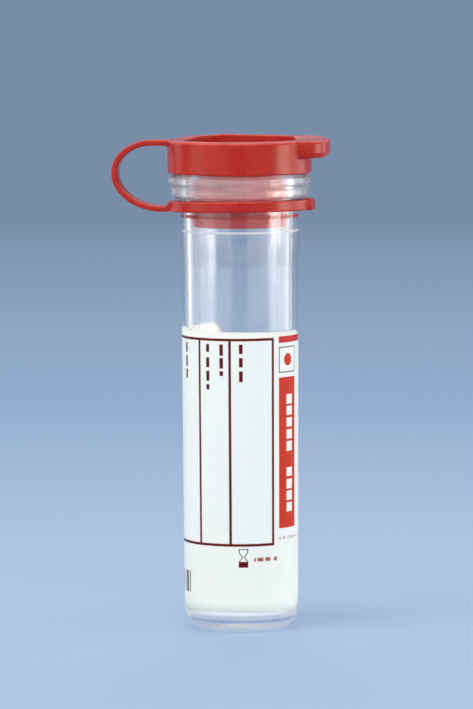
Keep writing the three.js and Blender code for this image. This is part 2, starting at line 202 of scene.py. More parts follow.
def rounded(*corners):
    """An open outline with rounded corners, from rows of (radius, height, corner radius).

    Each inner corner gives way to an arc. Its centre lies on the corner's bisector, at the corner
    radius over the sine of half the corner's angle, and the arc turns from one side's touching
    point to the other's. One more point stands on each side next to the arc, within a third of
    the straight piece that is left between two arcs.
    """
    table = np.asarray(corners, float)
    points, radius = table[:, :2], table[1:-1, 2:]
    side = np.diff(points, axis=0)
    straight = np.linalg.norm(side, axis=1, keepdims=True)
    side /= straight
    back, ahead = -side[:-1], side[1:]
    half = np.arccos(np.clip((back * ahead).sum(1, keepdims=True), -1, 1)) / 2
    bisector = back + ahead
    bisector /= np.linalg.norm(bisector, axis=1, keepdims=True)
    reach = radius / np.tan(half)
    centre = points[1:-1] + bisector * radius / np.sin(half)
    arm = points[1:-1] + back * reach - centre
    way = np.sign(ahead[:, :1] * back[:, 1:] - ahead[:, 1:] * back[:, :1])
    swing = way * (np.pi - 2 * half) * np.linspace(0, 1, ARC_STEPS + 1)
    arc_x = centre[:, :1] + arm[:, :1] * np.cos(swing) - arm[:, 1:] * np.sin(swing)
    arc_y = centre[:, 1:] + arm[:, :1] * np.sin(swing) + arm[:, 1:] * np.cos(swing)
    arcs = np.stack([arc_x, arc_y], axis=2)
    straight[1:] -= reach
    straight[:-1] -= reach
    guard = np.minimum(GUARD * radius, GUARD_MOST)
    before = points[1:-1] + back * (reach + np.minimum(guard, straight[:-1] / 3))
    after = points[1:-1] + ahead * (reach + np.minimum(guard, straight[1:] / 3))
    turns = np.concatenate([before[:, None], arcs, after[:, None]], axis=1)
    return np.concatenate([points[:1], turns.reshape(-1, 2), points[-1:]])


def apart(first, second):
    """How many degrees lie between two directions, the short way round."""
    return np.abs((first - second + 180) % 360 - 180)


def round_angles(*finer):
    """Angles once round the axis, with a finer step near some of them. Degrees in, radians out.

    Each of finer is a centre, how far it reaches to both sides, and its own step.
    """
    angles = np.arange(0.0, 360.0, ROUND_STEP)
    for centre, reach, step in finer:
        near = np.arange(centre - reach, centre + reach, step)
        angles = np.concatenate([angles[apart(angles, centre) > reach], near])
    return np.radians(np.unique(np.round(angles % 360, 4)))


# The edge share below places a painted highlight: paler red on outward edges that face up.
EDGE_TURN = (1.6, 3.4)  # turn per millimetre at which an edge begins to show, and shows fully
EDGE_SLANT = (0.1, 0.55, 0.8, 1.0)  # height of the normal where it begins, is full, fades, ends


def edge_share(grid, normals, wrap_rows):
    """How far each point of a grid lies on an outward edge that faces up, from 0 to 1.

    A point's turn, along its row or its column, is how much the direction to the next point
    differs from the direction from the last one, against the normal, over the mean distance.
    The share is a smooth step of the larger turn, where the normal points up at a slant.
    """
    turns = []
    for axis, wraps in ((0, wrap_rows), (1, True)):
        step = np.roll(grid, -1, axis=axis) - grid
        if not wraps:
            step[-1] = step[-2]
        distance = np.maximum(np.linalg.norm(step, axis=-1, keepdims=True), 1e-6)
        ahead = step / distance
        behind, before = np.roll(ahead, 1, axis=axis), np.roll(distance, 1, axis=axis)
        if not wraps:
            behind[0] = ahead[0]
        turn = np.einsum("ijk,ijk->ij", behind - ahead, normals)
        turns.append(2 * turn / (distance + before)[..., 0])
    first, full, fades, last = EDGE_SLANT
    upward = normals[..., 2]
    share = smooth(*EDGE_TURN, np.maximum(*turns))
    return share * smooth(first, full, upward) * smooth(last, fades, upward)


def with_ends(grid):
    """A grid's points in one list, and after them the means of its first and its last row."""
    points = grid.reshape(-1, grid.shape[-1])
    return np.concatenate([points, grid[:1].mean(axis=1), grid[-1:].mean(axis=1)])


def surface(name, grid, wrap_rows=False, uv=None, edges=False):
    """A closed mesh object from a grid of points in millimetres, rows by columns by 3.

    The columns join round to the first. The rows join round too for a ring; otherwise each end
    row is closed with triangles to its middle point. All faces are turned to point outwards,
    which they do when the volume, the sum of a . (b x c) / 6 over the triangles, is positive.
    """
    rows, columns = grid.shape[:2]
    index = np.arange(rows * columns).reshape(rows, columns)
    beside = np.roll(index, -1, axis=1)
    above = [np.roll(row, -1, axis=0) for row in (beside, index)]
    quads = np.stack([index, beside, *above], axis=-1)
    points, triangles = grid.reshape(-1, 3), np.zeros((0, 3), int)
    if not wrap_rows:
        quads = quads[:-1]
        points, low = with_ends(grid), np.full(columns, index.size)
        fans = [(beside[0], index[0], low), (index[-1], beside[-1], low + 1)]
        triangles = np.concatenate([np.stack(fan, axis=-1) for fan in fans])
    quads = quads.reshape(-1, 4)
    halves = np.concatenate([quads[:, [0, 1, 2]], quads[:, [0, 2, 3]], triangles])
    a, b, c = (points[corner] for corner in halves.T)
    if np.einsum("ij,ij->", a, np.cross(b, c)) < 0:
        quads, triangles = quads[:, ::-1], triangles[:, ::-1]
    mesh = bpy.data.meshes.new(name)
    faces = quads.tolist() + triangles.tolist()
    mesh.from_pydata((points * MM).tolist(), [], faces, shade_flat=False)
    # The edge share marks where the red gets its painted highlight on upward edges.
    if edges:
        normals = np.empty(points.size)
        mesh.vertex_normals.foreach_get("vector", normals)
        share = np.zeros(len(points))
        normals = normals[: grid.size].reshape(grid.shape)
        share[: index.size] = edge_share(grid, normals, wrap_rows).ravel()
        mesh.attributes.new("edge", "FLOAT", "POINT").data.foreach_set("value", share)
    if uv is not None:
        corners = np.concatenate([quads.ravel(), triangles.ravel()])
        layer = mesh.uv_layers.new(name="print")
        layer.uv.foreach_set("vector", with_ends(uv)[corners].ravel())
    mesh.update()
    piece = bpy.data.objects.new(name, mesh)
    bpy.context.scene.collection.objects.link(piece)
    return piece


def round_axis(radius, angles, height):
    """The grid of points at these distances from the axis, angles round it, and heights.

    x is the distance times the angle's cosine, and y the distance times its sine.
    """
    x, y = radius * np.cos(angles), radius * np.sin(angles)
    return np.stack([x, y, height + 0 * x], axis=-1)


# ---- Tube ----

COLLAR_BOTTOM = 40.38
SHOULDER_DROP = 1.8  # from the mouth down to the collar's top
STEP_HEIGHT = (34.2, 36.0)  # the body steps out to the neck between these heights
STEP_DEPTH = 0.09
SEAT = (37.25, 37.4)  # the bore widens to the plug's seat between these heights
PARTING_ANGLE = -128.8  # where the mould's halves met, and opposite
PARTING_RIDGE = 0.015
PARTING_WIDTH = 0.8  # degrees to either side, where a third of the ridge is left
PARTING_ENDS = (0.8, COLLAR_BOTTOM - 0.3)
DIMPLE_RADIUS = 0.95  # the gate's recess in the middle of the base
DIMPLE_DEPTH = 0.62
BASE_MILKY = 2.3  # up to this height the outside belongs to the milky base
FROSTED_RIM = (0.004, 0.22)  # the base's frosted rim lies between these heights
FROSTED_SEAT = (37.2, 37.42)  # and so does the seat in the bore
NEAR = 0.05  # a face belongs to a part when its middle is no further than this from it


def body_radius(tube, z):
    """Outside of the tapered body at height z, in millimetres.

    It is the neck's radius less the step, and less the tangent of the draft for each millimetre
    below the step.
    """
    return tube.neck_radius - STEP_DEPTH - (STEP_HEIGHT[0] - z) * math.tan(tube.draft)


def tube_outline(tube):
    """The tube's outline: up the outside from the middle of the base, and down the inside."""
    neck, crest = tube.neck_radius, tube.crest_radius
    mouth = tube.height
    shoulder = mouth - SHOULDER_DROP
    lip = neck + 0.43
    bore = neck - tube.wall
    base = body_radius(tube, 2.0)
    band = crest - 0.27
    return rounded(
        (0, DIMPLE_DEPTH, 0),
        (0.1, DIMPLE_DEPTH, 0.08),
        (DIMPLE_RADIUS, 0, 0.05),
        (base - 1.0, 0, 0.2),
        (base, 0.75, tube.base_round),
        (body_radius(tube, STEP_HEIGHT[0]), STEP_HEIGHT[0], 2.5),
        (neck, STEP_HEIGHT[1], 2.5),
        (neck, COLLAR_BOTTOM, 0.12),
        (band, COLLAR_BOTTOM, 0.45),
        (band, shoulder - 1.3, 0.5),
        (crest - 0.02, shoulder - 0.8, 0.5),
        (crest, shoulder - 0.6, 0.5),
        (crest - 0.06, shoulder - 0.28, 0.15),
        (lip + 0.35, shoulder, 0.08),
        (lip, shoulder, 0.1),
        (lip, mouth, 0.25),
        (bore + 0.3, mouth, 0.08),
        (bore, mouth - 0.3, 0.08),
        (bore, SEAT[1], 0.15),
        (body_radius(tube, SEAT[0]) - tube.wall, SEAT[0], 0.15),
        (body_radius(tube, tube.floor) - tube.wall, tube.floor, 1.6),
        (0, tube.floor, 0),
    )


def tube_piece(context):
    """The moulded tube: its outline turned, with a fine ridge where the mould's halves met.

    The ridge is a bell curve of the angle, added to the radius of the outside below the collar.
    """
    outline = tube_outline(sizes(context, "tube_sizes"))[1:-1]
    partings = np.array([PARTING_ANGLE % 360, (PARTING_ANGLE + 180) % 360])
    angles = round_angles(*((parting, 2.0, 0.2) for parting in partings))
    grid = round_axis(outline[:, :1], angles, outline[:, 1:])
    across = apart(np.degrees(angles)[:, None], partings).min(axis=1)
    ridge = PARTING_RIDGE * np.exp(-((across / PARTING_WIDTH) ** 2))
    height, (low, high) = outline[:, 1], PARTING_ENDS
    ridged = (np.arange(len(grid)) < np.argmax(height > high)) & (height > low)
    swell = 1 + ridged[:, None] * ridge / np.hypot(grid[..., 0], grid[..., 1])
    grid[..., :2] *= swell[..., None]
    return surface("tube_body", grid)


def mark_thick_parts(context, piece):
    """Gives faces their plastic: 1 on the collar, 2 on the base, 3 on the frosted seat and rim."""
    tube = sizes(context, "tube_sizes")
    polygons = piece.data.polygons
    centres = np.empty(len(polygons) * 3)
    polygons.foreach_get("center", centres)
    x, y, z = centres.reshape(-1, 3).T / MM
    outside = np.hypot(x, y) > tube.neck_radius - tube.wall / 2
    collar = outside & (z > COLLAR_BOTTOM - NEAR) & (z < tube.height - SHOULDER_DROP + NEAR)
    base = (z < BASE_MILKY) & (outside | (z < tube.floor - NEAR))
    seat = ~outside & (z > FROSTED_SEAT[0]) & (z < FROSTED_SEAT[1])
    rim = outside & (z > FROSTED_RIM[0]) & (z < FROSTED_RIM[1])
    kinds = np.select([rim | seat, base, collar], [3, 2, 1], 0)
    polygons.foreach_set("material_index", kinds.astype(np.int32))


# ---- Label ----

LABEL_GAP = -0.005  # the glue lets no air in, so the paper's back reaches just into the wall
LABEL_ROWS = 30  # points up the front, and as many down the back
LABEL_COLUMNS = (12, 150)  # in each end's rounded corners, and along the rest
PRINT_RADIUS = 5.45  # the print's widths are measured along an arc of this radius
NO_PRINT = 1000.0  # the bare back's place across the print, far from any of it


def label_piece(context):
    """The label: a thin closed sheet bent round the body.

    A column's middle rises with the label's slope, and its half height is the label's less the
    corner's cut, r - sqrt(r^2 - d^2), with d how far the column is into the corner.
    """
    tube, label = sizes(context, "tube_sizes"), sizes(context, "label_sizes")
    turn, height, corner = label.turn, label.height, label.corner
    middle = label.bottom + height / 2
    long_way = turn * body_radius(tube, middle)
    ends = corner / long_way * (1 - np.cos(np.linspace(0, np.pi / 2, LABEL_COLUMNS[0])))
    between = np.linspace(ends[-1], 1 - ends[-1], LABEL_COLUMNS[1])[1:-1]
    share = np.concatenate([ends, between, 1 - ends[::-1]])[:, None]
    into = np.clip(corner - np.minimum(share, 1 - share) * long_way, 0, corner)
    cut = corner - np.sqrt(corner**2 - into**2)
    slope = (share - 0.5) * long_way * math.tan(label.skew)
    up = np.concatenate([np.linspace(side, -side, LABEL_ROWS) for side in (-0.5, 0.5)])
    depth = np.repeat([label.thickness, 0.0], LABEL_ROWS)
    z = middle + slope + up * (height - 2 * cut)
    radius = body_radius(tube, z) + LABEL_GAP + depth
    bend = -share * turn + 0 * z
    uv = np.stack([-bend * PRINT_RADIUS, z], axis=-1)
    uv[:, LABEL_ROWS:, 0] += NO_PRINT
    return surface("tube_label", round_axis(radius, bend, z), uv=uv)


# ---- Cap ----

TAB_CORNER = 2.4  # radius of the thumb tab's corners, seen from above
TAB_EDGE = 0.55  # radius of its lower edge
TAB_ROOT = 0.04  # softness of the angle between the tab and the skirt
TAB_LEAST = 0.002  # the tab ends where it stands out less than this
DECK_EDGE = 0.28  # radius of the deck's outer edge
DISH_RADIUS = 5.25
DISH_FLOOR = 45.05
GROOVE_TOP = 44.5
SKIRT_WALL = 0.63
PLUG_RADIUS = 4.59
PLUG_END = 37.7
BEAD_RADIUS = 4.74  # the plug's sealing bead is pressed into the bore's wall
HOLLOW_RADIUS = 3.61
HOLLOW_FLOOR = 38.6
BOW_RISE = 0.2
BOW_STARTS = (-5, 30)  # the soft top bows up between these angles, in degrees from the tab
BOW_ENDS = (138, 170)  # and comes down between these
BOW_CRESTS = ((110, 11, 0.08), (27, 9, 0.07))  # angle, width and height of its two low crests


def tab_outline(closure, angles):
    """How far the tab's outline lies from the axis at each angle, and 0 where there is no tab.

    The nearest of three: its end, a line across at the reach; its side, a line along at half the
    width; and the arc of its rounded corner.
    """
    cos, sin = np.cos(angles), np.abs(np.sin(angles))
    half = closure.tab_width / 2
    centre_x, centre_y = closure.tab_reach - TAB_CORNER, half - TAB_CORNER
    along = centre_x * cos + centre_y * sin
    inside = np.maximum(along**2 - (centre_x**2 + centre_y**2 - TAB_CORNER**2), 0)
    arc = along + np.sqrt(inside)
    end = closure.tab_reach / np.maximum(cos, 1e-6)
    side = half / np.maximum(sin, 1e-6)
    outline = np.where(end * sin <= centre_y, end, np.where(side * cos <= centre_x, side, arc))
    return np.where(cos > 0, outline, 0.0)


def top_bow(angles):
    """How far the soft top stands up at each angle.

    It rises by a smooth step from the tab to the back and comes down again on the strap's side,
    with two low crests, bell curves of the angle.
    """
    degrees = (np.degrees(angles) + 90) % 360 - 90
    bow = BOW_RISE * (smooth(*BOW_STARTS, degrees) * (1 - smooth(*BOW_ENDS, degrees)))
    for middle, width, height in BOW_CRESTS:
        bow = bow + height * np.exp(-(((degrees - middle) / width) ** 2))
    return bow


def cap_grid(closure):
    """The cap's grid of points: each row is an outline point, each column an angle round the axis.

    The outer wall's rows stand out from the skirt by the tab's excess over the skirt's radius,
    softened at the tab's root as (d + sqrt(d^2 + e^2)) / 2. Last, heights above the groove rise
    by the bow, more and more up to the deck.
    """
    skirt, deck = closure.skirt_radius, closure.deck
    tab_bottom = deck - closure.tab_thickness
    root = math.degrees(math.asin(closure.tab_width / 2 / skirt))
    # The columns are finer at the tab, most of all at its roots, and at the bow's crest.
    tab_side = [(side, 1.6, 0.1) for side in (root, -root)]
    angles = round_angles((0.0, 42.0, 0.5), *tab_side, (110.0, 20.0, 0.75))
    lower = rounded(
        (0, PLUG_END, 0),
        (PLUG_RADIUS - 0.23, PLUG_END, 0.2),
        (BEAD_RADIUS - 0.04, 38.52, 0.1),
        (BEAD_RADIUS, 38.6, 0.04),
        (BEAD_RADIUS, 38.85, 0.04),
        (PLUG_RADIUS, 39.04, 0.06),
        (PLUG_RADIUS, GROOVE_TOP, 0.1),
        (skirt - SKIRT_WALL, GROOVE_TOP, 0.1),
        (skirt - SKIRT_WALL, closure.skirt_bottom, 0.05),
        (skirt, closure.skirt_bottom, 0.12),
        (skirt, tab_bottom - 0.3, 0),
    )
    gap = tab_outline(closure, angles) - skirt
    excess = (gap + np.sqrt(gap**2 + TAB_ROOT**2)) / 2
    excess = np.where(excess < TAB_LEAST, 0.0, excess)
    # The tab's underside: shares of its flat width, and how far they still hang down.
    under = np.array([(0.0, -0.1), (0.02, -0.03), (0.08, -0.005), (0.5, 0.0)])
    quarter = np.linspace(0, np.pi / 2, ARC_STEPS + 1)[:, None]
    edge = np.minimum(TAB_EDGE, excess)
    wall_z = np.array([tab_bottom + TAB_EDGE + 0.08, deck - DECK_EDGE - 0.05])[:, None]
    upper = rounded(
        (skirt - 0.5, deck, 0),
        (DISH_RADIUS, deck, 0.12),
        (DISH_RADIUS - 0.02, DISH_FLOOR, 0.15),
        (HOLLOW_RADIUS, DISH_FLOOR - 0.02, 0.5),
        (HOLLOW_RADIUS - 0.05, HOLLOW_FLOOR, 0.6),
        (0, HOLLOW_FLOOR, 0),
    )
    outer, rise, turn_in = skirt + excess, 1 - np.cos(quarter), 1 - np.sin(quarter)
    # Radius and height of each part's rows: the plug and skirt, the tab's underside, its lower
    # edge, its wall, the deck's edge and rim, and the deck, dish and hollow.
    parts = [
        (lower[1:, :1], lower[1:, 1:]),
        (skirt + under[:, :1] * np.maximum(excess - edge, 0), tab_bottom + under[:, 1:]),
        (outer - edge * turn_in, tab_bottom + 0.01 + TAB_EDGE * rise),
        (outer, wall_z),
        (outer - DECK_EDGE * rise, deck - DECK_EDGE + DECK_EDGE * np.sin(quarter)),
        (outer - DECK_EDGE - 0.05, [[deck]]),
        (skirt - 0.4 + 0.2 * excess, [[deck]]),
        (upper[:-1, :1], upper[:-1, 1:]),
    ]
    rows = [np.broadcast_arrays(*part, angles[None])[:2] for part in parts]
    radius, z = (np.concatenate(values) for values in zip(*rows))
    return round_axis(radius, angles, z + smooth(GROOVE_TOP, deck, z) * top_bow(angles))


def cap_piece(context):
    """The cap, one moulding from the plug's end to its dished top."""
    return surface("cap_moulding", cap_grid(sizes(context, "closure_sizes")), edges=True)


# ---- Ring ----

RING_TILT = (math.radians(1.6), math.radians(0.8))  # hangs higher at the front, and towards +X
RING_EDGE = 0.13
GRIP_REACH = 0.37  # how far the grip on the ring's front stands out
GRIP_RISE = 0.2  # and how far it stands up
GRIP_SIDES = (1.13, 1.29)  # across its middle it falls from all to nothing between these
GRIP_LEANS = (0.75, 1.0)  # shares of the ring's height between which it leans back in
SECTION_STEPS = 4  # chords in each corner of the ring's and the strap's section


def rounded_box(half_width, half_height, corner):
    """A closed loop of points round a box with rounded corners, as (x, y).

    A quarter circle turns about each corner's centre, with one point on the flat to each side.
    """
    quarter = np.linspace(0, np.pi / 2, SECTION_STEPS + 1)
    arc = corner * np.stack([np.cos(quarter), np.sin(quarter)], axis=1)
    guard = GUARD * corner
    corner_points = np.concatenate([[(corner, -guard)], arc, [(-guard, corner)]])
    middle = np.array([half_width - corner, half_height - corner])
    first = corner_points + middle
    second = corner_points[::-1] * (-1, 1) + middle * (-1, 1)
    return np.concatenate([first, second, -first, -second])


def ring_piece(context):
    """The ring round the neck: a rounded box section turned about the axis, then tilted.

    Where the grip is, the section's outside moves out and its top outer edge rises, by a smooth
    window of the distance across the grip. The tilt adds x and takes y away from the height, each
    times the tangent of its own angle.
    """
    closure = sizes(context, "closure_sizes")
    outer = closure.skirt_radius
    half = closure.ring_height / 2
    section = rounded_box(closure.ring_wall / 2, half, RING_EDGE)
    angles = round_angles((0.0, 14.0, 0.25))
    radius = outer - closure.ring_wall / 2 + section[:, :1]
    z = section[:, 1:]
    outward = np.clip((radius - outer + closure.ring_wall) / closure.ring_wall, 0, 1)
    upward = (z + half) / (2 * half)
    across = np.abs(outer * np.sin(angles))
    window = (1 - smooth(*GRIP_SIDES, across)) * (np.cos(angles) > 0)
    out = GRIP_REACH * outward**2 * (1 - smooth(*GRIP_LEANS, upward)) * window
    rise = GRIP_RISE * outward * upward * window
    grid = round_axis(radius + out, angles, z + rise + ring_middle(closure))
    x, y, z = np.moveaxis(grid, -1, 0)
    front, side = np.tan(RING_TILT)
    z[:] = z - y * front + x * side
    return surface("neck_ring_moulding", grid, wrap_rows=True, edges=True)


def ring_middle(closure):
    """Height of the ring's middle on the axis.

    It lies above the frame node's lowest point by half the ring's height, and by the outer radius
    times the sine of the whole tilt.
    """
    tilt = math.hypot(*RING_TILT)
    return RING_BOX[0][2] + closure.ring_height / 2 + closure.skirt_radius * math.sin(tilt)


# ---- Strap ----

STRAP_SINK = 0.4  # how far the strap's ends run into the cap and the ring
STRAP_EDGE = 0.16
STRAP_FILLET = 0.28
STRAP_BEND = 1.5  # it runs straight for this far from the cap's skirt
STRAP_STUB = 0.8  # and for this far from the ring
FILLET_POINTS = (14, 12)  # points near the cap and near the ring that a fillet may move
CURVE_POINTS = 30  # in each half of the loop
STUB_POINTS = 8  # in the straight stub at the ring
BELLY = 0.54  # height of the loop's outermost point, as a share of the loop's height


def bezier(a, b, c, d):
    """Points of a cubic curve with its ends at a and d and its handles at b and c.

    Each is their mean, weighted by (1 - t)^3, 3 (1 - t)^2 t, 3 (1 - t) t^2 and t^3.
    """
    t = np.linspace(0, 1, CURVE_POINTS)[:, None]
    return (1 - t) ** 3 * a + 3 * (1 - t) ** 2 * t * b + 3 * (1 - t) * t**2 * c + t**3 * d


def strap_line(closure, ring_z):
    """The strap's middle line as (x, z): straight out of the cap, round the loop to the ring.

    The loop is two cubic curves, which meet upright at its outermost point.
    """
    thickness = closure.strap_thickness
    inner = closure.skirt_radius - STRAP_SINK
    stub = closure.skirt_radius + STRAP_STUB
    outermost = closure.strap_reach - thickness / 2
    bend = closure.skirt_radius + STRAP_BEND
    top = closure.deck - thickness / 2
    bottom = ring_z - closure.ring_height / 2 + thickness / 2 - stub * math.sin(RING_TILT[1])
    belly = bottom + BELLY * (top - bottom)
    rise, drop = top - belly, belly - bottom
    ends_z = bottom + (stub - inner) * math.tan(RING_TILT[1])
    # Distances from the axis and heights: the end in the cap, the upper curve's ends and handles,
    # the lower curve's, and the end in the ring.
    route = [
        (inner, top),
        (bend, top),
        (bend + (outermost - bend) * 0.55, top),
        (outermost, belly + rise * 0.55),
        (outermost, belly),
        (outermost, belly - drop * 0.45),
        (stub + (outermost - stub) * 0.63, bottom + drop * 0.06),
        (stub, bottom),
        (inner, ends_z),
    ]
    points = np.array(route) * (-1, 1)
    start = np.linspace(*points[:2], FILLET_POINTS[0])
    upper, lower = bezier(*points[1:5]), bezier(*points[4:8])
    finish = np.linspace(*points[7:], STUB_POINTS)
    return np.concatenate([start, upper[1:], lower[1:], finish[1:]])


def strap_piece(context):
    """The strap: a rounded section carried along its line.

    Each point is the line's, moved by the section's depth square to the line and by its width
    along y. Near the cap and near the ring the inner side swells by a quarter round, the fillet,
    which is f - sqrt(f^2 - (f - d)^2) at a distance d from the wall.
    """
    closure = sizes(context, "closure_sizes")
    line = strap_line(closure, ring_middle(closure))
    along = np.gradient(line, axis=0)
    along /= np.linalg.norm(along, axis=1, keepdims=True)
    section = rounded_box(closure.strap_width / 2, closure.strap_thickness / 2, STRAP_EDGE)
    width, depth = section.T
    from_wall = np.clip(-line[:, :1] - closure.skirt_radius, 0, STRAP_FILLET)
    fillet = STRAP_FILLET - np.sqrt(STRAP_FILLET**2 - (STRAP_FILLET - from_wall) ** 2)
    fillet[FILLET_POINTS[0] : 1 - FILLET_POINTS[1]] = 0.0
    depth = depth - np.where(depth < 0, fillet * -depth * 2 / closure.strap_thickness, 0)
    x = line[:, :1] + along[:, 1:] * depth
    z = line[:, 1:] - along[:, :1] * depth
    return surface("strap_moulding", np.stack([x, width + 0 * x, z], axis=-1), edges=True)


# ---- Shader helpers ----


class Value:
    """An output of a node: the first, unless [name or number] picks another.

    Arithmetic on it adds Math nodes to its tree.
    """

    def __init__(self, tree, node, output=0):
        self.tree, self.node, self.output = tree, node, output

    def __getitem__(self, output):
        return Value(self.tree, self.node, output)

    def __add__(self, other):
        return self.tree.math("ADD", self, other)

    def __sub__(self, other):
        return self.tree.math("SUBTRACT", self, other)

    def __rsub__(self, other):
        return self.tree.math("SUBTRACT", other, self)

    def __mul__(self, other):
        return self.tree.math("MULTIPLY", self, other)

    def __abs__(self):
        return self.tree.math("ABSOLUTE", self)


class Tree:
    """Adds nodes to a node tree. Their inputs are plain values, or Values of other nodes."""

    def __init__(self, tree):
        self.tree = tree

    def add(self, kind, inputs=(), **settings):
        """A new node with its settings, and inputs as pairs of socket name or number and value."""
        node = self.tree.nodes.new(kind)
        for name, value in settings.items():
            setattr(node, name, value)
        for socket, value in dict(inputs).items():
            if isinstance(value, Value):
                self.tree.links.new(value.node.outputs[value.output], node.inputs[socket])
            else:
                node.inputs[socket].default_value = value
        return Value(self, node)

    def math(self, operation, *values):
        """A Math node on the values."""
        return self.add("ShaderNodeMath", enumerate(values), operation=operation)

    def largest(self, *values):
        """The largest of the values."""
        return reduce(lambda first, second: self.math("MAXIMUM", first, second), values)

    def mix(self, share, first, second):
        """A colour mix of first and second by share."""
        inputs = {0: share, 6: first, 7: second}
        return self.add("ShaderNodeMix", inputs, data_type="RGBA", clamp_factor=True)[2]

    def spread(self, value, low, high, to_low=0.0, to_high=1.0):
        """value carried from the span low..high to the span to_low..to_high, and clamped."""
        spans = {"From Min": low, "From Max": high, "To Min": to_low, "To Max": to_high}
        return self.add("ShaderNodeMapRange", {"Value": value, **spans})["Result"]

    def noise(self, place, scale, detail, roughness=0.5):
        """A noise from 0 to 1, with scale in waves per metre."""
        inputs = {"Vector": place, "Scale": scale, "Detail": detail, "Roughness": roughness}
        return self.add("ShaderNodeTexNoise", inputs)["Fac"]

    def bump(self, height, strength, distance):
        """The normal of a bump, with distance in millimetres."""
        inputs = {"Strength": strength, "Distance": distance * MM, "Height": height}
        return self.add("ShaderNodeBump", inputs)["Normal"]

    def group(self, maker, inputs):
        """A node group, made once and named after the function that makes it."""
        group = bpy.data.node_groups.get(maker.__name__) or maker()
        return self.add("ShaderNodeGroup", inputs, node_tree=group)


def empty_tree(owner):
    """The node tree of a material or a world, emptied."""
    owner.use_nodes = True
    owner.node_tree.nodes.clear()
    return Tree(owner.node_tree)


def new_material(name):
    """A new material, its node tree, and the place on the piece as a Value."""
    material = bpy.data.materials.new(name)
    tree = empty_tree(material)
    return material, tree, tree.add("ShaderNodeTexCoord")["Object"]


def new_group(name, inputs, *outputs):
    """The tree of a new node group, and its inputs. All sockets but Vector are single numbers."""
    group = bpy.data.node_groups.new(name, "ShaderNodeTree")
    new_socket = group.interface.new_socket
    for socket, default in inputs.items():
        kind = "NodeSocketVector" if socket == "Vector" else "NodeSocketFloat"
        new_socket(socket, in_out="INPUT", socket_type=kind).default_value = default
    for socket in outputs:
        new_socket(socket, in_out="OUTPUT", socket_type="NodeSocketFloat")
    tree = Tree(group)
    return tree, tree.add("NodeGroupInput")


def moulded_grain():
    """Moulded plastic: soft mottling, a fine grain and sparse scuffs.

    Mottle is a slow noise about 0; Gloss is part of it and the scuffs, which are narrow ridges
    of a stretched noise, in patches; Height is the grain and the mottling less the scuffs.
    """
    inputs = {"Vector": (0, 0, 0), "Mottle Size": 2.0, "Grain Size": 0.12, "Scuffs": 0.5}
    tree, given = new_group("moulded_grain", inputs, "Mottle", "Gloss", "Height")
    place = given["Vector"]

    def noise(size, detail, place=place):
        return tree.noise(place, tree.math("DIVIDE", 1.0 / MM, size), detail, 0.55) - 0.5

    slow = noise(given["Mottle Size"], 3.0)
    fine = noise(given["Grain Size"], 2.0)
    stretch = {"Vector": place, "Rotation": (0.5, 0.3, 0.9), "Scale": (1, 1, 0.12)}
    hair = noise(0.35, 2.0, tree.add("ShaderNodeMapping", stretch))
    ridge = tree.spread(abs(hair), 0.0, 0.012, 1.0, 0.0)
    scuff = ridge * tree.spread(noise(3.0, 1.0), 0.04, 0.16) * given["Scuffs"]
    height = fine * 0.35 + slow - scuff * 0.15
    tree.add("NodeGroupOutput", {"Mottle": slow, "Gloss": slow * 0.6 + scuff, "Height": height})
    return tree.tree


def printed_box():
    """A printed box: 1 inside it and 0 outside, with a soft edge.

    The larger of the distances past the half width and past the half height, spread over the
    softness.
    """
    inputs = {"Across": 0.0, "Up": 0.0, "Left": 0.0, "Right": 1.0, "Bottom": 0.0, "Top": 1.0}
    tree, given = new_group("printed_box", {**inputs, "Softness": 0.03}, "Mask")

    def past(value, low, high):
        return abs(value - (low + high) * 0.5) - (high - low) * 0.5

    outside = tree.largest(
        past(given["Across"], given["Left"], given["Right"]),
        past(given["Up"], given["Bottom"], given["Top"]),
    )
    soft = given["Softness"]
    tree.add("NodeGroupOutput", {"Mask": tree.spread(outside, soft * -1.0, soft, 1.0, 0.0)})
    return tree.tree


def dashes():
    """A row of dashes that stands for writing, inside a printed box.

    The row is divided into equal cells, with one dash in each. A random number for each cell sets
    how much of the cell the dash fills, from the shortest share to LONGEST_DASH.
    """
    inputs = {"Mask": 1.0, "Along": 0.0, "Cell": 0.6, "Shortest": 0.6, "Seed": 0.0}
    tree, given = new_group("dashes", inputs, "Mask")
    cell = given["Cell"]
    count = tree.math("DIVIDE", given["Along"], cell)
    key = tree.add("ShaderNodeCombineXYZ", {"X": tree.math("FLOOR", count), "Y": given["Seed"]})
    chance = tree.add("ShaderNodeTexWhiteNoise", {"Vector": key}, noise_dimensions="2D")
    filled = tree.spread(chance["Value"], 0.0, 1.0, given["Shortest"], LONGEST_DASH)
    half = filled * cell * 0.5
    past = abs(tree.math("FRACT", count) * cell - half) - half
    marks = tree.spread(past, -0.03, 0.03, 1.0, 0.0)
    tree.add("NodeGroupOutput", {"Mask": marks * given["Mask"]})
    return tree.tree


def opaque(rgb, share=1.0):
    """A share of a colour, or a little more than all of it, with full alpha."""
    return (*(min(1.0, v * share) for v in rgb), 1.0)


# ---- Materials ----

# The tube's plastic by its thickness and finish: name, clearness, and the span of its roughness.
PLASTICS = (
    ("natural_polypropylene", 0.985, 0.07, 0.17),
    ("thick_polypropylene", 0.81, 0.19, 0.31),
    ("base_polypropylene", 0.74, 0.16, 0.3),
    ("frosted_polypropylene", 0.35, 0.3, 0.4),
)
SHADOW_TINT = (0.985, 0.985, 0.985)  # what the plastic lets through to its shadow
EDGE_HIGHLIGHT_RED = (0.78, 0.17, 0.13)  # the paler red painted on outward edges that face up, a painted highlight
